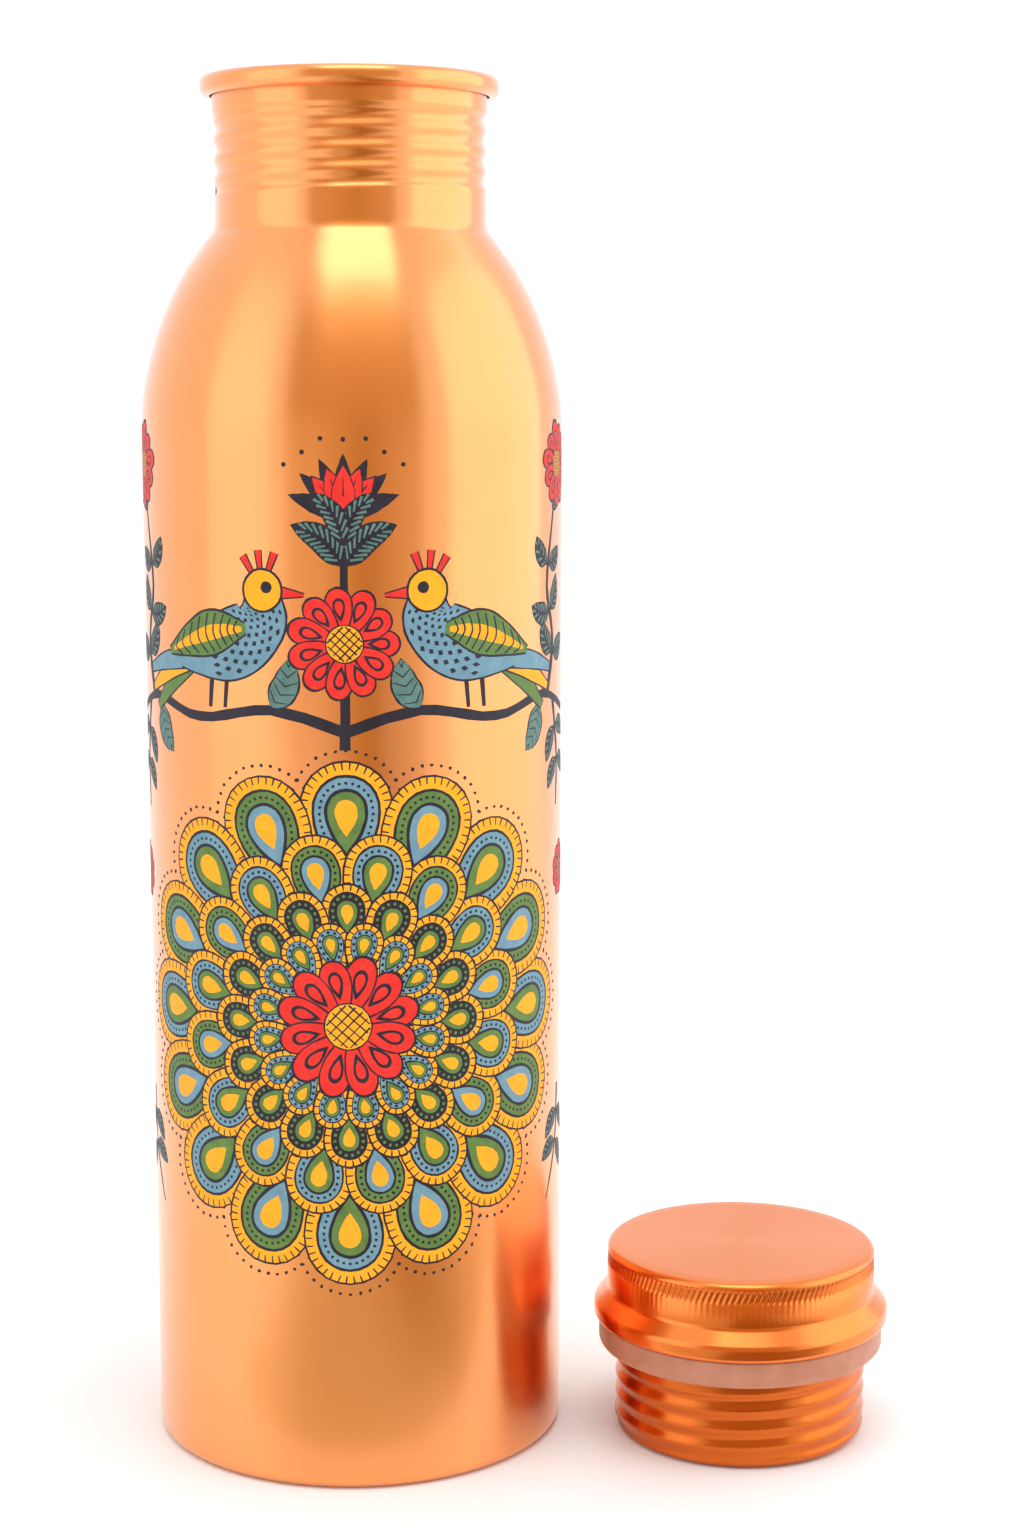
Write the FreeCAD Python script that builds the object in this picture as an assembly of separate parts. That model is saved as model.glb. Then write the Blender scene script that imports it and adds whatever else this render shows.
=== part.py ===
import FreeCAD, Part
import math
import os

# Copper water bottle, open, with its screw cap standing beside it.
# Millimetres. The origin is the centre of the bottle's foot, +Z is up the bottle.

# Copper sheet
SHEET = 0.6

# Bottle: a straight body, a sloping shoulder, a short threaded neck and a rolled rim
BODY_R = 37.5
FOOT_ROUND = 2.0
FOOT_LIP = 3.5
SHOULDER_R = 48.0
SHOULDER_SLOPE = math.radians(37)
NECK_R = 24.0
NECK_Z = 220.0
NECK_ROUND = 3.0
COLLAR_R = 24.3
RIM_R = 26.4
RIM_ROUND = 1.45
RIM_HEIGHT = 3.5
CURL_GAP = 0.35
BOTTLE_HEIGHT = 246.3

# The thread rolled into the neck and the plug
PITCH = 3.5
TURNS = 3
THREAD_DEPTH = 0.5
THREAD_PLAY = 0.4
THREAD_START = 45
ROOT_SHARE = 0.35
NECK_THREAD_Z = 227.4
PLUG_THREAD_Z = 3.0

# Base disc, pressed in behind the foot
BASE_R = 35.4
BASE_PANEL_R = 26.0
BASE_FOLD_R = 30.0
BASE_RISE = 3.0

# Cap: a drawn top shell folded over the rim of a threaded plug, with a silicone ring below
CAP_X = 71.0
CAP_Y = -7.0
CAP_HEIGHT = 35.5
TOP_R = 24.7
TOP_ROUND = 1.3
FLANGE_R = 27.15
FLANGE_ROUND = 1.5
FLANGE_Z = 21.4
FLANGE_EDGE_Z = 24.3
FLANGE_WALL_Z = 27.0
FLANGE_FILLET = 1.2
HEM = 1.75
HEM_ROUND = 1.1
PLUG_ROUND = 2.5
PLUG_RIM_HOLD = 0.8
GASKET_R = 26.2
GASKET_Z = 16.4
GASKET_ROUND = 1.1
RUNNING_GAP = 0.05

NECK_MINOR_R = NECK_R - 2 * THREAD_DEPTH
NECK_MAJOR_R = NECK_R - THREAD_DEPTH
PLUG_R = NECK_MAJOR_R - THREAD_PLAY
PLUG_WALL = THREAD_DEPTH + SHEET
THREAD_LENGTH = PITCH * TURNS


def at(r, z):
    return FreeCAD.Vector(r, 0, z)


def outline(corners):
    """A closed wire in the XZ plane through (r, z, rounding) corners, with tangent arcs."""
    ends = []
    count = len(corners)
    for i, (r, z, rounding) in enumerate(corners):
        here = at(r, z)
        to_last = (at(*corners[i - 1][:2]) - here).normalize()
        to_next = (at(*corners[(i + 1) % count][:2]) - here).normalize()
        half = to_last.getAngle(to_next) / 2
        run = rounding / math.tan(half)
        middle = (to_last + to_next).normalize() * (rounding / math.sin(half) - rounding)
        ends.append((here + to_last * run, here + middle, here + to_next * run, rounding))
    edges = []
    for i, (start, middle, end, rounding) in enumerate(ends):
        if rounding:
            edges.append(Part.Arc(start, middle, end).toShape())
        following = ends[(i + 1) % count][0]
        if end.distanceToPoint(following) > 1e-6:
            edges.append(Part.LineSegment(end, following).toShape())
    return Part.Wire(edges)


def turned(corners):
    """A solid spun about the Z axis from its half section."""
    face = Part.Face(outline(corners))
    return face.revolve(FreeCAD.Vector(), FreeCAD.Vector(0, 0, 1), 360)


def helical_cutter(crest_r, root_r, start_z, start_angle):
    """A flat-bottomed groove that climbs the thread, cut from crest_r down to root_r."""
    mouth = PITCH / 4
    floor = mouth * ROOT_SHARE
    outside = crest_r + (crest_r - root_r) / 2
    section = Part.makePolygon([
        at(outside, -mouth), at(crest_r, -mouth), at(root_r, -floor),
        at(root_r, floor), at(crest_r, mouth), at(outside, mouth), at(outside, -mouth),
    ])
    path = Part.makeHelix(PITCH, THREAD_LENGTH, crest_r)
    groove = Part.Wire(path).makePipeShell([section], True, True)
    groove.rotate(FreeCAD.Vector(), FreeCAD.Vector(0, 0, 1), start_angle)
    groove.translate(FreeCAD.Vector(0, 0, start_z))
    return groove


def cut_thread(wall, crest_r, root_r, start_z, start_angle):
    """Cuts one thread groove into a round wall, and prints how much metal it took away."""
    threaded = wall.cut(helical_cutter(crest_r, root_r, start_z, start_angle))
    print(f"thread groove, crest radius {crest_r:.1f}: took {wall.Volume - threaded.Volume:.0f} mm3")
    return threaded


def shoulder_z(r, inset):
    """Height of the shoulder's straight slope at radius r, moved inward by inset."""
    drop = (r - NECK_R) / math.tan(SHOULDER_SLOPE) + inset / math.sin(SHOULDER_SLOPE)
    return NECK_Z - drop


def bottle_body():
    inner_r = BODY_R - SHEET
    neck_inner_r = NECK_R - SHEET
    collar_inner_r = COLLAR_R - SHEET
    rim_low = BOTTLE_HEIGHT - RIM_HEIGHT
    curl_round = RIM_ROUND - SHEET
    thread_low = NECK_THREAD_Z - PITCH / 4
    thread_high = NECK_THREAD_Z + THREAD_LENGTH + PITCH / 4
    collar_z = thread_high + SHEET
    shell = turned([
        (BODY_R - FOOT_LIP, 0, 0),
        (BODY_R, 0, FOOT_ROUND),
        (BODY_R, shoulder_z(BODY_R, 0), SHOULDER_R),
        (NECK_R, NECK_Z, NECK_ROUND),
        (NECK_R, thread_high, 0),
        (COLLAR_R, collar_z, 0),
        (COLLAR_R, BOTTLE_HEIGHT - SHEET, curl_round),
        (RIM_R - SHEET, BOTTLE_HEIGHT - SHEET, curl_round),
        (RIM_R - SHEET, rim_low + SHEET, curl_round),
        (COLLAR_R + CURL_GAP, rim_low + SHEET, 0),
        (COLLAR_R + CURL_GAP, rim_low, 0),
        (RIM_R, rim_low, RIM_ROUND),
        (RIM_R, BOTTLE_HEIGHT, RIM_ROUND),
        (collar_inner_r, BOTTLE_HEIGHT, RIM_ROUND),
        (collar_inner_r, collar_z, 0),
        (NECK_MINOR_R, thread_high, 0),
        (NECK_MINOR_R, thread_low, 0),
        (neck_inner_r, thread_low - SHEET, 0),
        (neck_inner_r, shoulder_z(neck_inner_r, SHEET), NECK_ROUND - SHEET),
        (inner_r, shoulder_z(inner_r, SHEET), SHOULDER_R - SHEET),
        (inner_r, SHEET, FOOT_ROUND - SHEET),
        (BODY_R - FOOT_LIP, SHEET, 0),
    ])
    opposite = THREAD_START + 180
    grooved = cut_thread(shell, NECK_R, NECK_MAJOR_R, NECK_THREAD_Z, THREAD_START)
    return cut_thread(grooved, NECK_MINOR_R, NECK_MAJOR_R, NECK_THREAD_Z, opposite)


def bottle_base():
    top = SHEET + BASE_RISE
    return turned([
        (0, top, 0),
        (BASE_PANEL_R, top, SHEET),
        (BASE_FOLD_R, SHEET, SHEET),
        (BASE_R, SHEET, 0),
        (BASE_R, 2 * SHEET, 0),
        (BASE_FOLD_R, 2 * SHEET, SHEET),
        (BASE_PANEL_R, top + SHEET, SHEET),
        (0, top + SHEET, 0),
    ])


def cap_top():
    fold_z = FLANGE_Z + SHEET
    return turned([
        (0, CAP_HEIGHT, 0),
        (TOP_R, CAP_HEIGHT, TOP_ROUND),
        (TOP_R, FLANGE_WALL_Z, FLANGE_FILLET),
        (FLANGE_R, FLANGE_EDGE_Z, FLANGE_ROUND),
        (FLANGE_R, FLANGE_Z, HEM_ROUND),
        (FLANGE_R - HEM, FLANGE_Z, 0),
        (FLANGE_R - HEM, fold_z, 0),
        (FLANGE_R - SHEET, fold_z, HEM_ROUND - SHEET),
        (FLANGE_R - SHEET, FLANGE_EDGE_Z - SHEET / 2, FLANGE_ROUND - SHEET),
        (TOP_R - SHEET, FLANGE_WALL_Z - SHEET / 2, FLANGE_FILLET + SHEET),
        (TOP_R - SHEET, CAP_HEIGHT - SHEET, TOP_ROUND - SHEET),
        (0, CAP_HEIGHT - SHEET, 0),
    ])


def cap_plug():
    rim_z = FLANGE_Z + SHEET
    rim_r = FLANGE_R - HEM + PLUG_RIM_HOLD
    cup = turned([
        (0, 0, 0),
        (PLUG_R, 0, PLUG_ROUND),
        (PLUG_R, rim_z, SHEET / 2),
        (rim_r, rim_z, SHEET / 2),
        (rim_r, rim_z + SHEET, 0),
        (PLUG_R - PLUG_WALL, rim_z + SHEET, PLUG_WALL),
        (PLUG_R - PLUG_WALL, SHEET, PLUG_ROUND - SHEET),
        (0, SHEET, 0),
    ])
    return cut_thread(cup, PLUG_R, PLUG_R - THREAD_DEPTH, PLUG_THREAD_Z, THREAD_START)


def cap_gasket():
    inner_r = PLUG_R + RUNNING_GAP
    top = FLANGE_Z - RUNNING_GAP
    return turned([
        (inner_r, GASKET_Z, 0),
        (GASKET_R, GASKET_Z, GASKET_ROUND),
        (GASKET_R, top, 0),
        (inner_r, top, 0),
    ])


def save(name, shape, place):
    shape.translate(place)
    shape.exportStep(f"parts/{name}.step")
    box = shape.BoundBox
    print(f"{name}: {len(shape.Solids)} solid, valid {shape.isValid()}, {shape.Volume:.0f} mm3,"
          f" z {box.ZMin:.2f} to {box.ZMax:.2f}, widest {box.XLength:.2f}")


os.makedirs("parts", exist_ok=True)
STANDING = FreeCAD.Vector(0, 0, 0)
BESIDE = FreeCAD.Vector(CAP_X, CAP_Y, 0)
save("bottle_body", bottle_body(), STANDING)
save("bottle_base", bottle_base(), STANDING)
save("cap_top", cap_top(), BESIDE)
save("cap_plug", cap_plug(), BESIDE)
save("cap_gasket", cap_gasket(), BESIDE)
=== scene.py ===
# %% [markdown]
# # A copper water bottle, open, with its cap standing beside it
#
# The object is spun and drawn copper sheet: a bottle with a threaded neck and a rolled rim, and a cap made
# of a top shell, a threaded plug and a thick silicone ring. The bottle is printed with a rosette of eye
# feathers, flowering stems and two small birds. Nearly every piece is round, so nearly every piece starts
# as a short outline that is spun about its axis. All the outlines are given in millimetres and made into
# metres in one place.

# %% Load the frame
import cmath
import math
import random

import bmesh
import bpy
from mathutils import Matrix, Vector
from mathutils.bvhtree import BVHTree
from mathutils.geometry import delaunay_2d_cdt


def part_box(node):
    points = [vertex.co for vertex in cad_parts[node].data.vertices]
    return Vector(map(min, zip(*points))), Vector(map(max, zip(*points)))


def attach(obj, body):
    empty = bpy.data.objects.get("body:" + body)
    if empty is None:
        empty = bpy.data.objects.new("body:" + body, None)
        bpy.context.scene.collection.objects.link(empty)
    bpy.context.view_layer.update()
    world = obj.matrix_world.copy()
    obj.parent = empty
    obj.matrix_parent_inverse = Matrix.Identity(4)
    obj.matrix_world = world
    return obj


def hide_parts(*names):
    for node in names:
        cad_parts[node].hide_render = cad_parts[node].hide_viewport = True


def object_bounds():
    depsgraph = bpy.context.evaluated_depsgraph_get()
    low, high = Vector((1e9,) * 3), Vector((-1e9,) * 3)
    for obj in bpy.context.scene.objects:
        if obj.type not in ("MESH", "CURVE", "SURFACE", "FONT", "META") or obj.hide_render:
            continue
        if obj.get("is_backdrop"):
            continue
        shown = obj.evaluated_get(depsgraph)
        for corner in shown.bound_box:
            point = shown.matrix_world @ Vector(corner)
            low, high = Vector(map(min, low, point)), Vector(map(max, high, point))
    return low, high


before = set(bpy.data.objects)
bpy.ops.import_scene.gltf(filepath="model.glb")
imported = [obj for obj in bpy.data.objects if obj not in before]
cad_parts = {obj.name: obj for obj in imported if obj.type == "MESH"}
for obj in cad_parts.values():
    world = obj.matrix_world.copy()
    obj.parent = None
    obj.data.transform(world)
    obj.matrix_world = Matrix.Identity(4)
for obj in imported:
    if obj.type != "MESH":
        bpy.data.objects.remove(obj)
cad_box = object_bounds()
MM = 0.001
body_low, body_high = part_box("bottle_body")
plug_low, plug_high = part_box("cap_plug")
top_low, top_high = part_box("cap_top")
gasket_low, gasket_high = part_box("cap_gasket")
BODY_R = (body_high.x - body_low.x) / 2 / MM
BOTTLE_HEIGHT = body_high.z / MM
CAP_AXIS = (top_low + top_high) / 2 / MM
print(f"body radius {BODY_R:.2f} mm, height {BOTTLE_HEIGHT:.1f} mm")
print(f"cap axis {CAP_AXIS.x:.1f}, {CAP_AXIS.y:.1f}")

# %% [markdown]
# ## Spinning a sheet
#
# A spun or drawn pressing has one section all the way round. The section is drawn as a few corners, each
# with its own rounding, exactly as a tool maker would dimension it. Bevelling a corner of a wire rounds it
# with a true arc, and the spin operator turns the wire about the axis.

# %% Draw a rounded section and spin it
ARC_SEGMENTS = 10


def section(corners, closed):
    """A wire in the XZ plane through (radius, height, rounding) corners, in millimetres."""
    bm = bmesh.new()
    verts = [bm.verts.new((r, 0, z)) for r, z, rounding in corners]
    for a, b in zip(verts, verts[1:] + verts[:1] if closed else verts[1:]):
        bm.edges.new((a, b))
    for (r, z, rounding), vert in zip(corners, verts):
        if rounding:
            to_ends = [(edge.other_vert(vert).co - vert.co).normalized() for edge in vert.link_edges]
            half = to_ends[0].angle(to_ends[1]) / 2
            bmesh.ops.bevel(bm, geom=[vert], offset=rounding / math.tan(half), offset_type="OFFSET",
                            segments=ARC_SEGMENTS, profile=0.5, affect="VERTICES", material=-1)
    return bm


def cut_rows(bm, low, high, spacing):
    """Adds evenly spaced points to a wire between two heights, where the surface needs fine detail."""
    for i in range(int((high - low) / spacing) + 1):
        bmesh.ops.bisect_plane(bm, geom=bm.verts[:] + bm.edges[:], plane_co=(0, 0, low + i * spacing),
                               plane_no=(0, 0, 1))


DOUBLINGS = 5


def verts_of(geometry):
    return [element for element in geometry if isinstance(element, bmesh.types.BMVert)]


def spin(bm, steps):
    """Turns a wire into a closed surface about the Z axis. One sector is spun and then doubled."""
    sectors = 2 ** DOUBLINGS
    bmesh.ops.spin(bm, geom=bm.verts[:] + bm.edges[:], axis=(0, 0, 1), cent=(0, 0, 0),
                   angle=math.tau / sectors, steps=steps // sectors)
    for i in range(DOUBLINGS):
        copy = bmesh.ops.duplicate(bm, geom=bm.verts[:] + bm.edges[:] + bm.faces[:])["geom"]
        turn = Matrix.Rotation(math.tau * 2 ** i / sectors, 3, "Z")
        bmesh.ops.rotate(bm, verts=verts_of(copy), cent=(0, 0, 0), matrix=turn)
    bmesh.ops.remove_doubles(bm, verts=bm.verts[:], dist=1e-4)
    bmesh.ops.recalc_face_normals(bm, faces=bm.faces[:])


def finish_piece(bm, name, body, material, place=(0, 0, 0), stands_for=()):
    """Makes a mesh object in metres at its place in the frame, smooth shaded, riding on its body."""
    bmesh.ops.translate(bm, verts=bm.verts[:], vec=place)
    bmesh.ops.scale(bm, verts=bm.verts[:], vec=(MM, MM, MM))
    mesh = bpy.data.meshes.new(name)
    bm.to_mesh(mesh)
    bm.free()
    mesh.shade_smooth()
    piece = bpy.data.objects.new(name, mesh)
    bpy.context.scene.collection.objects.link(piece)
    piece.data.materials.append(material)
    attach(piece, body)
    if stands_for:
        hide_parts(*stands_for)
    size = piece.dimensions / MM
    print(f"{name}: {len(mesh.polygons)} faces, {size.x:.2f} x {size.y:.2f} x {size.z:.2f} mm")
    return piece


# %% [markdown]
# ## Brushed, lacquered copper
#
# The bottle was polished on a lathe, so its fine scratches run round it. Along the scratches a reflection
# stays crisp, and across them it smears: bright windows turn into long vertical bars. An anisotropic shader
# with a tangent round the axis does this, and a fine noise stretched round the bottle gives the scratches
# themselves. A clear coat stands for the lacquer.

# %% Material helpers
def new_material(name):
    material = bpy.data.materials.new(name)
    material.use_nodes = True
    return material, material.node_tree.nodes, material.node_tree.links


def scaled_position(nodes, links, scale, location=(0, 0, 0)):
    """Object coordinates through a Mapping node."""
    coordinates = nodes.new("ShaderNodeTexCoord")
    mapping = nodes.new("ShaderNodeMapping")
    mapping.inputs["Scale"].default_value = scale
    mapping.inputs["Location"].default_value = location
    links.new(coordinates.outputs["Object"], mapping.inputs["Vector"])
    return mapping.outputs["Vector"]


def noise_of(nodes, links, vector, scale, detail=2.0, roughness=0.5):
    texture = nodes.new("ShaderNodeTexNoise")
    texture.inputs["Scale"].default_value = scale
    texture.inputs["Detail"].default_value = detail
    texture.inputs["Roughness"].default_value = roughness
    links.new(vector, texture.inputs["Vector"])
    return texture.outputs["Fac"]


def ramp_of(nodes, links, value, stops):
    """A colour ramp through (position, colour) stops."""
    ramp = nodes.new("ShaderNodeValToRGB")
    elements = ramp.color_ramp.elements
    while len(elements) < len(stops):
        elements.new(0.5)
    for element, (position, colour) in zip(elements, stops):
        element.position = position
        element.color = (*colour, 1)
    links.new(value, ramp.inputs["Fac"])
    return ramp.outputs["Color"]


def range_of(nodes, links, value, low, high):
    node = nodes.new("ShaderNodeMapRange")
    node.inputs["To Min"].default_value = low
    node.inputs["To Max"].default_value = high
    links.new(value, node.inputs["Value"])
    return node.outputs["Result"]


def copper(name, colour, shade, roughness, brushing, lacquer, centre=(0, 0, 0)):
    """Lathe-brushed copper under clear lacquer. Centre is the axis that the brushing runs round."""
    material, nodes, links = new_material(name)
    shader = nodes["Principled BSDF"]
    shader.inputs["Metallic"].default_value = 1.0
    shader.inputs["Anisotropic"].default_value = brushing
    shader.inputs["Anisotropic Rotation"].default_value = 0.25
    shader.inputs["Coat Weight"].default_value = lacquer
    shader.inputs["Coat Roughness"].default_value = 0.15
    shader.inputs["Coat IOR"].default_value = 1.45
    around = (-centre[0], -centre[1], 0)
    patches = noise_of(nodes, links, scaled_position(nodes, links, (1, 1, 1), around), 35, 3)
    links.new(ramp_of(nodes, links, patches, [(0.3, shade), (0.7, colour)]), shader.inputs["Base Color"])
    scratches = noise_of(nodes, links, scaled_position(nodes, links, (1, 1, 90), around), 60, 4, 0.7)
    uneven = range_of(nodes, links, scratches, roughness * 0.85, roughness * 1.15)
    links.new(uneven, shader.inputs["Roughness"])
    bump = nodes.new("ShaderNodeBump")
    bump.inputs["Strength"].default_value = 0.06
    bump.inputs["Distance"].default_value = 0.02 * MM
    links.new(scratches, bump.inputs["Height"])
    links.new(bump.outputs["Normal"], shader.inputs["Normal"])
    tangent = nodes.new("ShaderNodeTangent")
    tangent.direction_type = "RADIAL"
    tangent.axis = "Z"
    links.new(tangent.outputs["Tangent"], shader.inputs["Tangent"])
    return material


BODY_COPPER = copper("brushed_copper", (0.95, 0.375, 0.12), (0.93, 0.355, 0.108), 0.3, 0.85, 0.8)
CAP_COPPER = copper("cap_copper", (0.93, 0.25, 0.055), (0.9, 0.232, 0.047), 0.26, 0.6, 0.25, CAP_AXIS * MM)
# Painted shade: the plug's copper is the cap's copper made darker, for the plug that sits under the flange.
PLUG_COPPER_PAINTED_SHADE = copper("plug_copper_painted_shade", (0.7, 0.16, 0.024), (0.64, 0.137, 0.018), 0.26, 0.6, 0.15,
                     CAP_AXIS * MM)

# %% [markdown]
# ## The bottle's shell
#
# One sheet runs from the turned-in foot up the wall, over the shoulder and the neck, and curls outward into
# the rim. The section goes up the outside of the sheet and comes back down the inside, so the shell has its
# real thickness. The thread is rolled into the sheet, so both faces move in together.

# %% Outline the bottle's shell
SHEET = 0.6
FOOT_ROUND = 2.0
FOOT_LIP = 3.5
SHOULDER_R = 48.0
SHOULDER_SLOPE = math.radians(37)
NECK_R = 24.0
NECK_Z = 220.0
NECK_ROUND = 3.0
COLLAR_R = 24.3
RIM_R = 26.4
RIM_ROUND = 1.45
RIM_HEIGHT = 3.5
CURL_GAP = 0.35
BODY_STEPS = 256


def shoulder_z(r, inset):
    drop = (r - NECK_R) / math.tan(SHOULDER_SLOPE) + inset / math.sin(SHOULDER_SLOPE)
    return NECK_Z - drop


def bottle_outline():
    inner_r = BODY_R - SHEET
    neck_inner_r = NECK_R - SHEET
    collar_inner_r = COLLAR_R - SHEET
    rim_low = BOTTLE_HEIGHT - RIM_HEIGHT
    curl_round = RIM_ROUND - SHEET
    return [
        (BODY_R - FOOT_LIP, 0, 0.2),
        (BODY_R, 0, FOOT_ROUND),
        (BODY_R, shoulder_z(BODY_R, 0), SHOULDER_R),
        (NECK_R, NECK_Z, NECK_ROUND),
        (NECK_R, THREAD_TOP + 0.8, 0.8),
        (COLLAR_R, THREAD_TOP + 1.6, 0.8),
        (COLLAR_R, BOTTLE_HEIGHT - SHEET, curl_round),
        (RIM_R - SHEET, BOTTLE_HEIGHT - SHEET, curl_round),
        (RIM_R - SHEET, rim_low + SHEET, curl_round),
        (COLLAR_R + CURL_GAP, rim_low + SHEET, 0.1),
        (COLLAR_R + CURL_GAP, rim_low, 0.1),
        (RIM_R, rim_low, RIM_ROUND),
        (RIM_R, BOTTLE_HEIGHT, RIM_ROUND),
        (collar_inner_r, BOTTLE_HEIGHT, RIM_ROUND),
        (collar_inner_r, THREAD_TOP + 1.6, 0.8),
        (neck_inner_r, THREAD_TOP + 0.8, 0.8),
        (neck_inner_r, shoulder_z(neck_inner_r, SHEET), NECK_ROUND - SHEET),
        (inner_r, shoulder_z(inner_r, SHEET), SHOULDER_R - SHEET),
        (inner_r, SHEET, FOOT_ROUND - SHEET),
        (BODY_R - FOOT_LIP, SHEET, 0.2),
    ]


# %% Roll the thread into the neck
PITCH = 3.5
TURNS = 3
THREAD_DEPTH = 0.5
THREAD_LOW = 226.5
THREAD_TOP = THREAD_LOW + PITCH * (TURNS + 0.5)
FADE_TURNS = 0.35


def thread_depth_at(z, angle, low):
    """How far a rolled thread draws the sheet in. It starts and stops with a step on the -X side."""
    turn = (z - low) / PITCH - angle / math.tau
    from_ends = min(turn, TURNS - turn) + 0.5
    fade = max(0.0, min(1.0, from_ends / FADE_TURNS))
    wave = 0.5 + 0.5 * math.cos(math.tau * turn)
    return THREAD_DEPTH * wave * fade * fade * (3 - 2 * fade)


def roll_thread(bm, low, innermost, outermost):
    for vert in bm.verts:
        r = math.hypot(vert.co.x, vert.co.y)
        if innermost < r < outermost and low - PITCH < vert.co.z < low + PITCH * (TURNS + 1):
            angle = math.atan2(vert.co.y, vert.co.x)
            depth = thread_depth_at(vert.co.z, angle, low)
            vert.co.x *= 1 - depth / r
            vert.co.y *= 1 - depth / r


wire = section(bottle_outline(), closed=True)
cut_rows(wire, THREAD_LOW - 1, THREAD_TOP + 0.6, 0.22)
cut_rows(wire, 10, 180, 17)
spin(wire, BODY_STEPS)
roll_thread(wire, THREAD_LOW + 0.5 * PITCH, NECK_R - SHEET - 0.1, NECK_R + 0.1)
bottle_shell = finish_piece(wire, "bottle_shell", "bottle", BODY_COPPER,
                            stands_for=["bottle_body"])

# %% [markdown]
# ## The base disc
#
# The disc closes the tube. It lies on the turned-in foot, and its middle is pressed up so that only the
# foot touches the table.

# %% Spin the base disc
BASE_R = 35.4
BASE_PANEL_R = 26.0
BASE_FOLD_R = 30.0
BASE_RISE = 3.0

base = section([
    (0, SHEET + BASE_RISE, 0),
    (BASE_PANEL_R, SHEET + BASE_RISE, 1.5),
    (BASE_FOLD_R, SHEET, 1.5),
    (BASE_R, SHEET, 0.1),
    (BASE_R, 2 * SHEET, 0.1),
    (BASE_FOLD_R, 2 * SHEET, 1.5),
    (BASE_PANEL_R, 2 * SHEET + BASE_RISE, 1.5),
    (0, 2 * SHEET + BASE_RISE, 0),
], closed=False)
spin(base, BODY_STEPS)
finish_piece(base, "base_disc", "bottle", BODY_COPPER, stands_for=["bottle_base"])

# %% [markdown]
# ## The print: a rosette, flowering stems and two birds
#
# The picture is screen printed: flat inks with firm edges, laid over the copper. A texture could hold it,
# but small dots and hatching would blur, so here it is real geometry. It is drawn on the unrolled sheet and
# then wrapped round the bottle. A place on the sheet is one complex number: the real part runs round the
# bottle and the imaginary part runs up it, in millimetres, so turning a shape is one multiplication.
#
# Each shape is a closed outline with an ink, and a later shape covers an earlier one, as paper cut-outs
# would.

# %% Outlines to draw with
hand = random.Random(11)
print_layers = []


def lay(ink, outline, wobble=0.05):
    """Puts a shape on top of the picture, anticlockwise, as uneven as a hand-cut stencil."""
    shaken = []
    for before, p, after in zip(outline[-1:] + outline[:-1], outline, outline[1:] + outline[:1]):
        reach = min(wobble, 0.3 * abs(p - before), 0.3 * abs(after - p))
        shaken.append(p + complex(hand.uniform(-reach, reach), hand.uniform(-reach, reach)))
    twice_area = sum((a.conjugate() * b).imag for a, b in zip(shaken, shaken[1:] + shaken[:1]))
    print_layers.append((ink, shaken if twice_area > 0 else shaken[::-1]))


def smooth_path(points, per_span=8):
    """A Catmull-Rom curve through places, or through plain numbers."""
    padded = [points[0], *points, points[-1]]
    path = []
    for a, b, c, d in zip(padded, padded[1:], padded[2:], padded[3:]):
        for i in range(per_span):
            t = i / per_span
            bend = (c - a) * t + (2 * a - 5 * b + 4 * c - d) * t**2 + (3 * b - a - 3 * c + d) * t**3
            path.append(b + bend / 2)
    return path + [points[-1]]


def disc(centre, radius, sides=9):
    return [centre + cmath.rect(radius, math.tau * i / sides) for i in range(sides)]


def drop(tip, far, half_width, sides=30):
    """A teardrop from its sharp tip to its round end."""
    middle, half = (tip + far) / 2, (tip - far) / 2
    across = 1j * half / abs(half)
    widest = 0.77
    outline = []
    for i in range(sides):
        t = math.tau * i / sides
        side = half_width / widest * math.sin(t) * math.sin(t / 2)
        outline.append(middle + half * math.cos(t) + across * side)
    return outline


def scaled(outline, centre, factor):
    return [centre + (p - centre) * factor for p in outline]


def patch(spine, half_widths):
    """A curved strip. The result turns (share along, share across from -1 to 1) into a place."""
    path = smooth_path(spine)
    halves = smooth_path(half_widths, max(1, round(len(path) / (len(half_widths) - 1))))

    def between(values, s):
        at = min(max(s, 0.0), 1.0) * (len(values) - 1)
        i = min(int(at), len(values) - 2)
        return values[i] + (values[i + 1] - values[i]) * (at - i)

    def place(s, t):
        ahead = between(path, s + 0.03) - between(path, s - 0.03)
        return between(path, s) + 1j * ahead / abs(ahead) * between(halves, s) * t
    return place


def strip(place, s0=0.0, s1=1.0, t0=-1.0, t1=1.0, steps=18):
    """The outline of a part of a patch."""
    along = [s0 + (s1 - s0) * i / steps for i in range(steps + 1)]
    return [place(s, t0) for s in along] + [place(s, t1) for s in reversed(along)]


def stroke(points, *widths):
    """A brush stroke through the points, as wide as the widths say from its start to its end."""
    widths = widths if len(widths) > 1 else widths * 2
    steps = 1 if len(points) == 2 else 5 * (len(points) - 1)
    return strip(patch(points, [w / 2 for w in widths]), steps=steps)


def evenly(outline, spacing, closed=True):
    """Places about one spacing apart along a line, each with the direction in which the line runs there."""
    ring = outline + outline[:1] if closed else outline
    total = sum(abs(b - a) for a, b in zip(ring, ring[1:]))
    count = max(2, round(total / spacing))
    places, walked = [], 0.0
    for a, b in zip(ring, ring[1:]):
        length = abs(b - a)
        while len(places) < count and (len(places) + 0.5) * total / count <= walked + length:
            share = ((len(places) + 0.5) * total / count - walked) / length
            places.append((a + (b - a) * share, (b - a) / length))
        walked += length
    return places


# %% [markdown]
# ### A rosette of eye feathers
#
# An eye feather is the same drop laid down again and again, each time smaller and in the next ink: an amber
# vane with barbs, a dark line, a field with a ring of dots, and the eye. The rosette is rings of them round
# one middle, each ring the same share smaller than the last and turned by half a feather. The outer ring
# goes down first, so each ring covers the tips of the one outside it, like tiles.

# %% Draw one eye feather
LINE = 0.34


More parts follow.
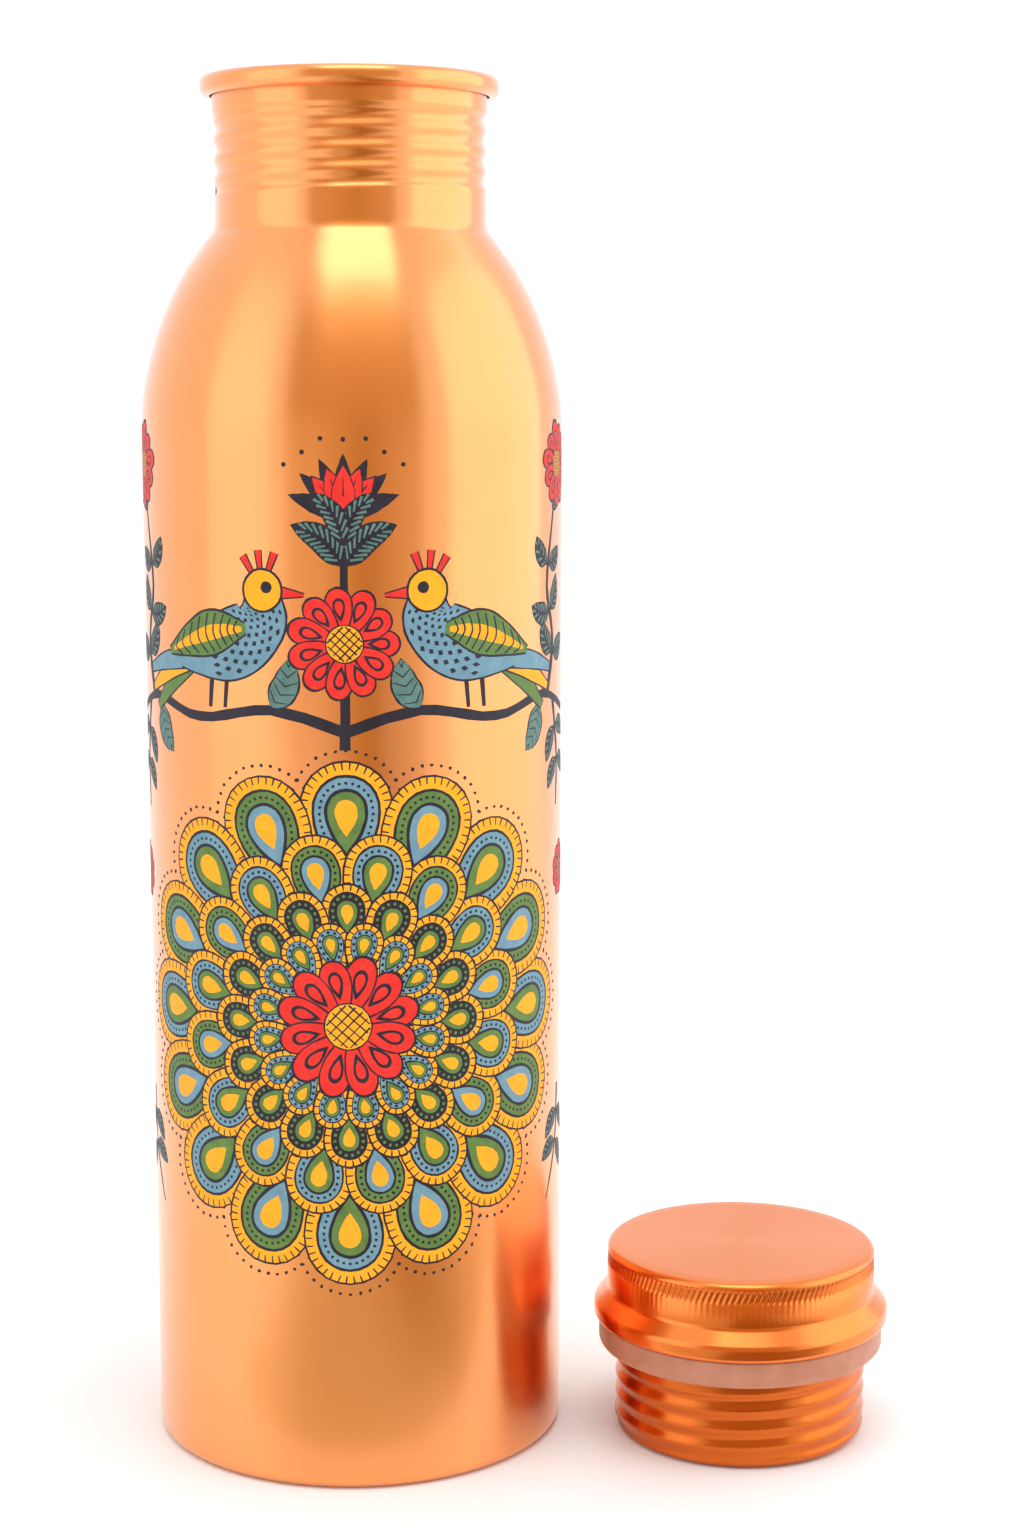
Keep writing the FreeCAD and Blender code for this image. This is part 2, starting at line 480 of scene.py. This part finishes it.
def eye_feather(tip, far, half_width, field, inner):
    dot = {"dark": "green"}.get(field, "dark")
    vane = drop(tip, far, half_width)
    heart = far + (tip - far) / 3
    size = abs(tip - far) / 2
    for level, ink in ((1 + LINE / half_width, "dark"), (1, "amber"), (0.76, "dark"), (0.7, field)):
        lay(ink, scaled(vane, heart, level))
    for place, run in evenly(vane, 1.45):
        inward = 1j * run
        lay("dark", stroke([place, place + inward * (0.7 + 0.04 * size)], 0.3, 0.22), 0.03)
    for place, run in evenly(scaled(vane, heart, 0.585), 1.15):
        lay(dot, disc(place, 0.3, 6), 0.03)
    for level, ink in ((0.48, "dark"), (0.41, inner)):
        lay(ink, scaled(vane, heart, level))
    lay("amber", scaled(vane, heart, 0.25))


# %% Draw the rosette
ROSETTE = 84j
OUTER_RING = 40.0
RING_SHRINK = 0.735
RINGS = 4
FEATHERS = 16
RING_FIELDS = [["sky", "green"], ["green", "sky"], ["dark"], ["sky"]]


def ring_feathers(ring):
    """Every feather of one ring: its tip, its round end and its half width."""
    reach = OUTER_RING * RING_SHRINK**ring
    half_width = math.pi * reach / FEATHERS
    for i in range(FEATHERS):
        out = 1j * cmath.rect(1, math.tau * (i + ring % 2 / 2) / FEATHERS)
        tip = ROSETTE + out * (reach - 2.5 * half_width)
        far = ROSETTE + out * (reach + 0.75 * half_width)
        yield tip, far, half_width


for tip, far, half_width in ring_feathers(0):
    halo = scaled(drop(tip, far, half_width), far + (tip - far) / 3, 1 + 1.9 / half_width)
    for place, run in evenly(halo, 1.75):
        lay("dark", disc(place, 0.33, 6), 0.08)
for ink, radius in (("dark", OUTER_RING - 4.6), ("amber", OUTER_RING - 5)):
    lay(ink, disc(ROSETTE, radius, 60))
for ring in range(RINGS):
    fields = RING_FIELDS[ring]
    for i, (tip, far, half_width) in enumerate(ring_feathers(ring)):
        field = fields[i % len(fields)]
        eye_feather(tip, far, half_width, field, "sky" if field == "green" else "green")
print(f"{RINGS * FEATHERS} eye feathers in {RINGS} rings")

# %% [markdown]
# ### Leaves, flowers and stems
#
# Leaves are dark with lighter flashes between the veins, all drawn in the leaf's own strip so that they
# follow its bend. A daisy is a ring of drops round a hatched button, and one of them is the heart of the
# rosette. Everything beside the middle is drawn once, on the right, and then repeated mirrored on the left.

# %% Draw leaves and flowers
def leaf(base, tip, half_width, bend=0.12):
    middle = (base + tip) / 2 + 1j * (tip - base) * bend
    dark = patch([base, middle, tip], [0.1, half_width * 0.9, half_width, half_width * 0.7, 0.05])
    lay("dark", strip(dark))
    flashes = max(4, round(abs(tip - base) / 1.5))
    for i in range(flashes):
        s = 0.16 + 0.58 * i / (flashes - 1)
        for side in (-1, 1):
            start, end = dark(s, 0.16 * side), dark(s + 0.12, 0.82 * side)
            lay("teal", stroke([start, end], 0.3, 0.5), 0.03)


def pale_leaf(base, tip, half_width, bend=0.12):
    middle = (base + tip) / 2 + 1j * (tip - base) * bend
    whole = patch([base, middle, tip], [0.1, half_width * 0.9, half_width, half_width * 0.7, 0.05])
    lay("dark", strip(whole))
    lay("teal", strip(whole, 0.05, 0.95, -0.86, 0.86))
    for i in range(5):
        s = 0.16 + 0.64 * i / 4
        for side in (-1, 1):
            lay("dark", stroke([whole(s, 0), whole(s + 0.12, 0.8 * side)], 0.26, 0.16), 0.02)


def daisy(centre, radius, petals, turn=0.0):
    for i in range(petals):
        out = cmath.rect(1, math.tau * (i + turn) / petals)
        reach = radius * hand.uniform(0.93, 1.03)
        half = math.pi * radius * 0.78 / petals
        petal = drop(centre + out * radius * 0.12, centre + out * reach, half)
        heart = centre + out * radius * 0.66
        lay("dark", scaled(petal, heart, 1 + 0.3 / half))
        lay("red", petal)
        lay("dark", scaled(petal, heart, 0.5), 0.03)
        lay("red", scaled(petal, heart, 0.32), 0.03)
    button = radius * 0.32
    lay("dark", disc(centre, button + 0.28, 20))
    lay("amber", disc(centre, button, 20))
    for i in range(-2, 3):
        offset = i * button * 0.36
        chord = math.sqrt(button**2 - offset**2) * 0.9
        for way in (cmath.rect(1, 0.8), cmath.rect(1, 2.4)):
            ends = [centre + way * complex(-chord, offset), centre + way * complex(chord, offset)]
            lay("dark", stroke(ends, 0.27), 0.05)


def bud(base, out, size):
    """A half-open flower: red petals in a cup of dark sepals, with a few seeds flying off."""
    for i in range(-3, 4):
        way = out * cmath.rect(1, 0.42 * i)
        lay("dark", drop(base + way * size * 1.42, base, size * 0.26))
    for i in (-2, 2, -1, 1, 0):
        way = out * cmath.rect(1, 0.36 * i)
        petal = drop(base + way * size * 1.12, base + way * size * 0.05, size * 0.27)
        heart = base + way * size * 0.45
        lay("dark", scaled(petal, heart, 1.1))
        lay("red", petal)
        lay("dark", stroke([base + way * size * 0.4, base + way * size * 0.86], 0.3, 0.16), 0.03)
    for i in range(-3, 4):
        lay("dark", disc(base + out * cmath.rect(size * (1.75 + 0.1 * (i % 2)), 0.3 * i), 0.42), 0.05)


def twig(points, *widths):
    lay("dark", stroke(points, *widths), 0.09)


# %% Draw the stems with their leaves
def sprig(points, width, leaves, half_width):
    """A twig with leaves. Each leaf is (share along the twig, length, turn from it in degrees)."""
    twig(points, width, width * 0.5)
    line = patch(points, [1, 1])
    for share, length, turn in leaves:
        here, ahead = line(share, 0), line(min(share + 0.05, 1), 0) - line(share - 0.05, 0)
        out = ahead / abs(ahead) * cmath.rect(1, math.radians(turn))
        twig([here, here + out * 1.2], 0.6, 0.4)
        leaf(here + out * 0.8, here + out * length, half_width * length / 9, 0.1 if turn > 0 else -0.1)


def repeat_mirrored(first):
    """Lays every shape from number first on once more, mirrored across the middle of the picture."""
    for ink, outline in print_layers[first:]:
        print_layers.append((ink, [-p.conjugate() for p in reversed(outline)]))


PAIRS = [(share, 8.5 - 1.5 * share, turn) for share in (0.25, 0.5, 0.75) for turn in (52, -52)]
PAIRS.append((1.0, 7.5, 0))

daisy(ROSETTE, 12.4, 12, 0.5)
twig([132j, 150j, 174j], 1.9, 1.5, 1.0)
bud(172j, 1j, 7.0)
one_side = len(print_layers)
leaf(163j, 9 + 170j, 2.4)
leaf(166.5j, 5.5 + 175.5j, 1.9)
twig([135j, 13 + 138.5j, 28 + 136.5j, 42 + 139j, 55 + 135j], 1.9, 1.7, 1.3)
sprig([44 + 138.5j, 47 + 148j, 44 + 158j, 47 + 170j], 1.4, PAIRS, 2.4)
sprig([47 + 138j, 50 + 127j, 49.5 + 118j], 1.1, PAIRS[:4], 2.0)
sprig([51 + 66j, 49.5 + 56j, 44 + 46j], 0.9, PAIRS[:4], 2.0)
pale_leaf(13 + 139j, 9.5 + 147.5j, 2.6)
pale_leaf(40 + 137.5j, 36 + 129.5j, 2.5)
daisy(50 + 179j, 7.4, 11, 0.2)
daisy(52.5 + 106j, 4.9, 9, 0.1)
repeat_mirrored(one_side)
daisy(150j, 9.6, 11)
print(f"{len(print_layers)} shapes with stems and flowers")

# %% [markdown]
# ### Two small birds
#
# A plain songbird sits on each stem and looks at the flower between them. Its body and its wing are strips
# along a curved line, so scales and bands are drawn in shares of the strip and follow the body by
# themselves.

# %% Draw a songbird
def outlined(ink, points, *widths, edge=0.6):
    lay("dark", stroke(points, *[w + edge for w in widths]))
    lay(ink, stroke(points, *widths))


def songbird(feet, size):
    """A bird in profile with its beak to the left, standing on the place given."""
    def at(along, up):
        return feet + complex(along, up) * size

    for foot in (0, 3):
        twig([at(foot, 0), at(foot - 0.5, 6)], 0.8, 1.0)
    for ink, end in (("green", at(18, -1.5)), ("amber", at(20, 1.5)), ("sky", at(21, 4.5))):
        points = [at(6, 7), (at(6, 7) + end) / 2 + 0.7j * size, end]
        outlined(ink, points, 2.2 * size, 2.8 * size, 1.2 * size)
    line = [at(-7, 18), at(-6.4, 13.5), at(-0.5, 9.5), at(10, 7)]
    half_widths = [2.6 * size, 4.4 * size, 5.2 * size, 1.2 * size]
    lay("dark", strip(patch(line, [w + 0.4 for w in half_widths]), -0.02, 1.02, steps=30))
    body = patch(line, half_widths)
    lay("sky", strip(body, steps=30))
    for i in range(11):
        for j in range(6):
            s, t = 0.2 + 0.055 * i, -0.8 + 0.3 * j + 0.15 * (i % 2)
            lay("dark", [body(s - 0.02, t), body(s, t - 0.09), body(s + 0.02, t), body(s, t + 0.09)], 0.04)
    wing_line, wing_widths = [at(-4, 12.5), at(3, 11.5), at(13, 8)], [0.8, 3.4 * size, 0.5]
    lay("dark", strip(patch(wing_line, [w + 0.4 for w in wing_widths])))
    wing = patch(wing_line, wing_widths)
    lay("green", strip(wing))
    lay("amber", strip(wing, 0.08, 0.92, -0.35, 0.35))
    for i in range(9):
        s = 0.14 + 0.085 * i
        lay("dark", stroke([wing(s, -0.9), wing(s + 0.06, 0), wing(s, 0.9)], 0.34), 0.04)
    head = at(-7, 18.5)
    for turn in (58, 84, 110):
        out = cmath.rect(size, math.radians(turn))
        outlined("red", [head + out * 2.6, head + out * 6.2], 0.5, 1.1, edge=0.5)
    outlined("red", [head, head + complex(-6.8, -0.6) * size], 2.8 * size, 0.3)
    for ink, radius in (("dark", 3.5), ("amber", 3.1)):
        lay(ink, disc(head, radius * size, 22))
    lay("dark", disc(head + complex(-0.7, 0.5) * size, 0.95 * size, 12))


# %% Set the two birds on the stems
one_side = len(print_layers)
songbird(22 + 138.5j, 1.1)
repeat_mirrored(one_side)
print(f"{len(print_layers)} shapes in the print, {sum(len(o) for ink, o in print_layers)} points")

# %% [markdown]
# ### From cut-outs to ink on the bottle
#
# A constrained Delaunay triangulation splits all the overlapping outlines into triangles, and says for each
# one which outlines it lies in: the last of them is the ink on top. Many of those triangles are cut by
# outlines that lie hidden underneath, so a second triangulation keeps only the borders between one ink and
# the next, plus upright cuts close enough together for the sheet to bend round the bottle. Each ink is then
# a thin slab, pressed a little into the copper so that it has no gap behind it, with a mirrored twin for
# the other side of the bottle.

# %% Find the ink on top everywhere
MIRROR_U = -math.pi * BODY_R / 2
CUT_SPACING = 2.2
INKS = ["amber", "sky", "green", "teal", "red", "dark"]


def triangulate(outlines, lines):
    """Splits outlines and lines into triangles: the places, the corners, the outlines each is in."""
    places, edges, loops = [], [], []
    for outline in outlines:
        loops.append(list(range(len(places), len(places) + len(outline))))
        places += [Vector((p.real, p.imag)) for p in outline]
    for a, b in lines:
        edges.append((len(places), len(places) + 1))
        places += [Vector(a), Vector(b)]
    found, drawn, corners, _, _, sources = delaunay_2d_cdt(places, edges, loops, 1 if loops else 0, 1e-5)
    return found, corners, sources


def holds(outline, place):
    """Whether a closed outline goes round a place."""
    inside = False
    for a, b in zip(outline, outline[1:] + outline[:1]):
        if (a.imag > place.imag) != (b.imag > place.imag):
            crossing = a.real + (b.real - a.real) * (place.imag - a.imag) / (b.imag - a.imag)
            inside ^= place.real < crossing
    return inside


reaches = [max(abs(p - outline[0]) for p in outline) for ink, outline in print_layers]
half_width_used = max(abs(p.real) for ink, outline in print_layers for p in outline)
print(f"the picture reaches {half_width_used:.1f} mm of the {-MIRROR_U:.1f} mm on each side of its middle")


def top_ink(middle, candidates):
    """The ink of the last shape that holds a place. A shaken outline can cross itself, so each is tested."""
    for i in sorted(candidates, reverse=True):
        ink, outline = print_layers[i]
        if abs(middle - outline[0]) <= reaches[i] and holds(outline, middle):
            return ink
    return None


rough, rough_corners, rough_sources = triangulate([outline for ink, outline in print_layers], [])
tops = [top_ink(complex(*(sum((rough[c] for c in corners), Vector((0, 0))) / 3)), inside)
        for corners, inside in zip(rough_corners, rough_sources)]
border = {}
for corners, ink in zip(rough_corners, tops):
    for a, b in zip(corners, corners[1:] + corners[:1]):
        border.setdefault((min(a, b), max(a, b)), []).append(ink)
seams = [(rough[a], rough[b]) for (a, b), inks in border.items() if len(inks) == 1 or inks[0] != inks[1]]
print(f"{len(rough_corners)} triangles under all the shapes, {len(seams)} border lines between inks")

# %% Triangulate the visible borders only
lowest = min(p.y for p in rough) - 1
highest = max(p.y for p in rough) + 1
leftmost, rightmost = min(p.x for p in rough), max(p.x for p in rough)
cuts = int((rightmost - leftmost) / CUT_SPACING) + 2
uprights = [((leftmost + (i - 0.5) * CUT_SPACING, lowest), (leftmost + (i - 0.5) * CUT_SPACING, highest))
            for i in range(cuts + 1)]
fine, fine_corners, _ = triangulate([], seams + uprights)
finder = BVHTree.FromPolygons([(p.x, p.y, 0) for p in rough], rough_corners)


def ink_at(corners):
    middle = sum((fine[c] for c in corners), Vector((0, 0))) / len(corners)
    place, normal, index, distance = finder.ray_cast((middle.x, middle.y, 1), (0, 0, -1), 2)
    return None if index is None else tops[index]


by_ink = {ink: [] for ink in INKS}
for corners in fine_corners:
    ink = ink_at(corners)
    if ink:
        by_ink[ink].append(corners)
print({ink: len(faces) for ink, faces in by_ink.items()})

# %% Mix the inks and wrap them round the bottle
PRINT_BED = 0.05
PRINT_HEIGHT = 0.03
INK_COLOURS = {
    "amber": ((1.0, 0.36, 0.003), (1.0, 0.41, 0.006)),
    "sky": ((0.12, 0.25, 0.33), (0.17, 0.32, 0.4)),
    "green": ((0.085, 0.17, 0.035), (0.13, 0.23, 0.05)),
    "teal": ((0.07, 0.16, 0.14), (0.12, 0.23, 0.2)),
    "red": ((0.72, 0.012, 0.008), (0.83, 0.025, 0.015)),
    "dark": ((0.014, 0.011, 0.022), (0.024, 0.02, 0.036)),
}


def ink_material(name, thin, thick):
    """A printed ink: its depth of colour varies a little where the squeegee left more or less of it."""
    material, nodes, links = new_material(name)
    shader = nodes["Principled BSDF"]
    mottle = noise_of(nodes, links, scaled_position(nodes, links, (1, 1, 1)), 420, 4, 0.6)
    links.new(ramp_of(nodes, links, mottle, [(0.32, thin), (0.68, thick)]), shader.inputs["Base Color"])
    links.new(range_of(nodes, links, mottle, 0.42, 0.56), shader.inputs["Roughness"])
    shader.inputs["Specular IOR Level"].default_value = 0.3
    return material


def ink_sheet(triangles, mirrored):
    """A flat slab of one ink, wrapped round one side of the bottle."""
    bm = bmesh.new()
    made = {}
    for corners in triangles:
        for c in corners:
            if c not in made:
                made[c] = bm.verts.new((fine[c].x, fine[c].y, -PRINT_BED))
        bm.faces.new([made[c] for c in corners])
    raised = bmesh.ops.extrude_face_region(bm, geom=bm.faces[:])["geom"]
    bmesh.ops.translate(bm, verts=verts_of(raised), vec=(0, 0, PRINT_BED + PRINT_HEIGHT))
    bmesh.ops.recalc_face_normals(bm, faces=bm.faces[:])
    for edge in bm.edges:
        edge.smooth = abs(edge.calc_face_angle(0)) < 1
    if mirrored:
        bmesh.ops.reverse_faces(bm, faces=bm.faces[:])
    for vert in bm.verts:
        u = 2 * MIRROR_U - vert.co.x if mirrored else vert.co.x
        angle, r = u / BODY_R, BODY_R + vert.co.z
        vert.co = (r * math.sin(angle), -r * math.cos(angle), vert.co.y)
    return bm


for ink in INKS:
    material = ink_material(f"ink_{ink}", *INK_COLOURS[ink])
    for side in ("front", "back"):
        sheet = ink_sheet(by_ink[ink], side == "back")
        finish_piece(sheet, f"print_{ink}_{side}", "bottle", material)

# %% [markdown]
# ## The cap's top shell
#
# The shell is drawn from one disc: a barely crowned top, a straight wall, and a flange whose edge folds
# under the plug's rim. A knurling wheel rolled the band of slanting teeth below the top edge, which gives
# wet fingers a grip. The teeth are part of the surface: every point of the band moves in by a wave that
# leans as it goes up.

# %% Spin the top shell and knurl it
TOP_R = 24.7
TOP_ROUND = 1.3
CROWN = 0.3
FLANGE_R = 27.15
FLANGE_ROUND = 1.5
FLANGE_Z = 21.4
FLANGE_EDGE_Z = 24.3
FLANGE_WALL_Z = 27.0
FLANGE_FILLET = 1.2
HEM = 1.75
HEM_ROUND = 1.1
PLUG_RIM_HOLD = 0.8
CAP_HEIGHT = top_high.z / MM
TEETH = 144
STEPS_PER_TOOTH = 4
TOOTH_DEPTH = 0.42
KNURL_LOW = 31.3
KNURL_HIGH = 34.2
KNURL_LEAN = 1.15


def knurl(bm):
    for vert in bm.verts:
        r = math.hypot(vert.co.x, vert.co.y)
        share = (vert.co.z - KNURL_LOW) / (KNURL_HIGH - KNURL_LOW)
        if r > TOP_R - 0.1 and 0 < share < 1:
            angle = math.atan2(vert.co.y, vert.co.x)
            phase = (angle / math.tau * TEETH - share * KNURL_LEAN) % 1
            edge = min(1.0, 7 * share, 7 * (1 - share))
            depth = TOOTH_DEPTH * edge * abs(math.sin(math.pi * phase)) ** 0.7
            vert.co.x *= 1 - depth / r
            vert.co.y *= 1 - depth / r


top = section([
    (0, CAP_HEIGHT, 0),
    (TOP_R - 3, CAP_HEIGHT - CROWN / 3, 2.0),
    (TOP_R, CAP_HEIGHT - CROWN, TOP_ROUND),
    (TOP_R, FLANGE_WALL_Z, FLANGE_FILLET),
    (FLANGE_R, FLANGE_EDGE_Z, FLANGE_ROUND),
    (FLANGE_R, FLANGE_Z, HEM_ROUND),
    (FLANGE_R - HEM, FLANGE_Z, 0.15),
    (FLANGE_R - HEM, FLANGE_Z + SHEET, 0.15),
    (FLANGE_R - SHEET, FLANGE_Z + SHEET, HEM_ROUND - SHEET),
    (FLANGE_R - SHEET, FLANGE_EDGE_Z - SHEET / 2, FLANGE_ROUND - SHEET),
    (TOP_R - SHEET, FLANGE_WALL_Z - SHEET / 2, FLANGE_FILLET + SHEET),
    (TOP_R - SHEET, CAP_HEIGHT - SHEET - CROWN, TOP_ROUND - SHEET),
    (0, CAP_HEIGHT - SHEET, 0),
], closed=False)
cut_rows(top, KNURL_LOW, KNURL_HIGH, (KNURL_HIGH - KNURL_LOW) / 8)
spin(top, TEETH * STEPS_PER_TOOTH)
knurl(top)
cap_place = (CAP_AXIS.x, CAP_AXIS.y, 0)
finish_piece(top, "cap_shell", "cap", CAP_COPPER, cap_place, ["cap_top"])

# %% [markdown]
# ## The threaded plug
#
# The plug is a closed cup that screws into the neck. Its rim spreads into a ring that the top shell folds
# over, and its thread has the same pitch as the neck's.

# %% Spin the plug and roll its thread
PLUG_R = 23.1
PLUG_ROUND = 2.5
PLUG_WALL = THREAD_DEPTH + SHEET
PLUG_THREAD_LOW = 3.0

rim_z = FLANGE_Z + SHEET
rim_r = FLANGE_R - HEM + PLUG_RIM_HOLD
plug = section([
    (0, 0, 0),
    (PLUG_R, 0, PLUG_ROUND),
    (PLUG_R, rim_z, SHEET / 2),
    (rim_r, rim_z, SHEET / 2),
    (rim_r, rim_z + SHEET, 0.1),
    (PLUG_R - PLUG_WALL, rim_z + SHEET, PLUG_WALL),
    (PLUG_R - PLUG_WALL, SHEET, PLUG_ROUND - SHEET),
    (0, SHEET, 0),
], closed=False)
cut_rows(plug, PLUG_THREAD_LOW - 0.5, PLUG_THREAD_LOW + PITCH * TURNS + 2, 0.25)
spin(plug, BODY_STEPS)
roll_thread(plug, PLUG_THREAD_LOW + 0.3, PLUG_R - 0.3, PLUG_R + 0.1)
# The plug wears the darker copper, which is painted shade.
finish_piece(plug, "threaded_plug", "cap", PLUG_COPPER_PAINTED_SHADE, cap_place, ["cap_plug"])

# %% [markdown]
# ## The sealing ring
#
# The ring is thick, milky silicone. Light goes a little way into it, so it glows where it is thin;
# subsurface scattering gives that. Its warm tint from the copper is painted light, put into its base colour.

# %% Spin the sealing ring
GASKET_R = 26.2


def silicone():
    material, nodes, links = new_material("silicone")
    shader = nodes["Principled BSDF"]
    mottle = noise_of(nodes, links, scaled_position(nodes, links, (1, 1, 1)), 300, 3)
    # Painted light: the warm pinkish brown base colour is the tint that light from the copper gives the
    # milky ring.
    links.new(ramp_of(nodes, links, mottle, [(0.3, (0.48, 0.2, 0.12)), (0.7, (0.56, 0.25, 0.16))]),
              shader.inputs["Base Color"])
    links.new(range_of(nodes, links, mottle, 0.32, 0.44), shader.inputs["Roughness"])
    shader.inputs["Subsurface Weight"].default_value = 0.5
    shader.inputs["Subsurface Radius"].default_value = (1.0, 0.55, 0.4)
    shader.inputs["Subsurface Scale"].default_value = 1.5 * MM
    shader.inputs["IOR"].default_value = 1.41
    return material


gasket_low_z = gasket_low.z / MM
gasket_high_z = gasket_high.z / MM
ring = section([
    (PLUG_R + 0.05, gasket_low_z, 0.3),
    (GASKET_R, gasket_low_z, 1.1),
    (GASKET_R, gasket_high_z, 0.4),
    (PLUG_R + 0.05, gasket_high_z, 0.3),
], closed=True)
spin(ring, BODY_STEPS)
finish_piece(ring, "silicone_ring", "gasket", silicone(), cap_place, ["cap_gasket"])

# %% [markdown]
# ## A plain studio
#
# Metal shows what stands round it more than a colour of its own, so most of the studio is there to be
# reflected. The surroundings are white, a brown panel in front gives the bottle its dark upright band, two
# soft boxes give the bright bands beside it, and a third above lights the shoulder. Two cards on the floor
# carry the dark band down to the foot of the bottle and onto the cap. The panel and the cards are seen in
# reflections only.

# %% Floor, panel, lights and camera
def stage_plane(name, size_x, size_y, matrix, material):
    bm = bmesh.new()
    bmesh.ops.create_grid(bm, x_segments=1, y_segments=1, size=0.5)
    bmesh.ops.scale(bm, verts=bm.verts[:], vec=(size_x, size_y, 1))
    mesh = bpy.data.meshes.new(name)
    bm.to_mesh(mesh)
    bm.free()
    plane = bpy.data.objects.new(name, mesh)
    plane.matrix_world = matrix
    plane.data.materials.append(material)
    bpy.context.scene.collection.objects.link(plane)
    plane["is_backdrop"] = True
    return plane


def matte(name, colour):
    material, nodes, links = new_material(name)
    shader = nodes["Principled BSDF"]
    shader.inputs["Roughness"].default_value = 0.6
    speckle = noise_of(nodes, links, scaled_position(nodes, links, (1, 1, 1)), 40, 2)
    pale = tuple(min(1.0, c * 1.01) for c in colour)
    links.new(ramp_of(nodes, links, speckle, [(0.3, colour), (0.7, pale)]), shader.inputs["Base Color"])
    return material


def look_at(place, target):
    turn = (Vector(target) - Vector(place)).to_track_quat("-Z", "Y")
    return Matrix.Translation(place) @ turn.to_matrix().to_4x4()


def around(azimuth, distance, height):
    """A place round the bottle: azimuth 0 is in front of it, and it grows to the right, in degrees."""
    angle = math.radians(azimuth)
    return distance * math.sin(angle), -distance * math.cos(angle), height


def soft_box(name, place, target, size_x, size_y, brightness):
    """A lamp whose face looks as bright as the given multiple of white."""
    light = bpy.data.lights.new(name, "AREA")
    light.shape = "RECTANGLE"
    light.size = size_x
    light.size_y = size_y
    light.energy = math.pi * size_x * size_y * brightness
    lamp = bpy.data.objects.new(name, light)
    lamp.matrix_world = look_at(place, target)
    lamp.visible_camera = False
    bpy.context.scene.collection.objects.link(lamp)
    return lamp


def glowing(name, colour):
    material, nodes, links = new_material(name)
    shader = nodes["Principled BSDF"]
    shader.inputs["Base Color"].default_value = (0, 0, 0, 1)
    shader.inputs["Specular IOR Level"].default_value = 0
    shader.inputs["Emission Color"].default_value = (*colour, 1)
    shader.inputs["Emission Strength"].default_value = 1
    return material


stage_plane("floor", 6.0, 6.0, Matrix.Translation((0, 2.0, 0)), matte("floor_white", (0.95, 0.95, 0.95)))
PANEL_HEIGHT = 1.6
CARD_SPREAD = 2.5
panel = stage_plane("dark_panel", 1.8, PANEL_HEIGHT,
                    look_at(around(3.5, 1.2, PANEL_HEIGHT / 2), (0, 0, PANEL_HEIGHT / 2)),
                    glowing("panel_brown", (0.64, 0.42, 0.17)))
bottle_card = stage_plane("bottle_card", 0.12, 1.1, Matrix.Translation((-0.005, -0.6, 0.002)),
                          glowing("card_buff", (0.76, 0.68, 0.5)))
cap_card = stage_plane("cap_card", 0.12, 1.1, Matrix.Translation((0.11, -0.6, 0.003)),
                       glowing("card_brown", (0.36, 0.2, 0.05)))
for card in (bottle_card, cap_card):
    for vert in card.data.vertices:
        if vert.co.y < 0:
            vert.co.x *= CARD_SPREAD
for reflector in (panel, bottle_card, cap_card):
    reflector.visible_camera = False
    reflector.visible_diffuse = False
    reflector.visible_shadow = False

BOX_HEIGHT = 1.3
soft_box("right_box", around(90, 1.0, BOX_HEIGHT / 2), (0, 0, BOX_HEIGHT / 2), 1.4, BOX_HEIGHT, 0.85)
soft_box("left_box", around(-62, 1.0, BOX_HEIGHT / 2), (0, 0, BOX_HEIGHT / 2), 0.7, BOX_HEIGHT, 0.5)
soft_box("top_box", (0.05, -0.25, 0.95), (0, 0, 0.1), 0.5, 0.4, 3.0)

world = bpy.data.worlds.new("studio")
bpy.context.scene.world = world
world.use_nodes = True
world.node_tree.nodes["Background"].inputs["Color"].default_value = (1, 1, 1, 1)
world.node_tree.nodes["Background"].inputs["Strength"].default_value = 1.05

CAMERA_DISTANCE = 0.4988
CAMERA_HEIGHT = 0.2
CAMERA_X = 0.0221
CAMERA_PITCH = math.radians(8.76)
CAMERA_YAW = math.radians(0.75)
camera_data = bpy.data.cameras.new("camera")
camera_data.lens = 64.6
camera_data.sensor_width = 36
camera_data.clip_start = 0.01
camera = bpy.data.objects.new("camera", camera_data)
camera.location = (CAMERA_X, -CAMERA_DISTANCE, CAMERA_HEIGHT)
camera.rotation_euler = (math.pi / 2 - CAMERA_PITCH, 0, -CAMERA_YAW)
bpy.context.scene.collection.objects.link(camera)
bpy.context.scene.camera = camera
bpy.context.scene.view_settings.view_transform = "Standard"

# %% [markdown]
# ## The two boxes
#
# The two boxes are printed so that the visual model can be compared with the frame it was built round.

# %% Print the sizes and finish
new_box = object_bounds()
boxes = {"cad": cad_box, "visual": new_box}
{name: [list(corner) for corner in box] for name, box in boxes.items()}
print("cad box", [round(c, 4) for corner in cad_box for c in corner])
print("visual box", [round(c, 4) for corner in new_box for c in corner])
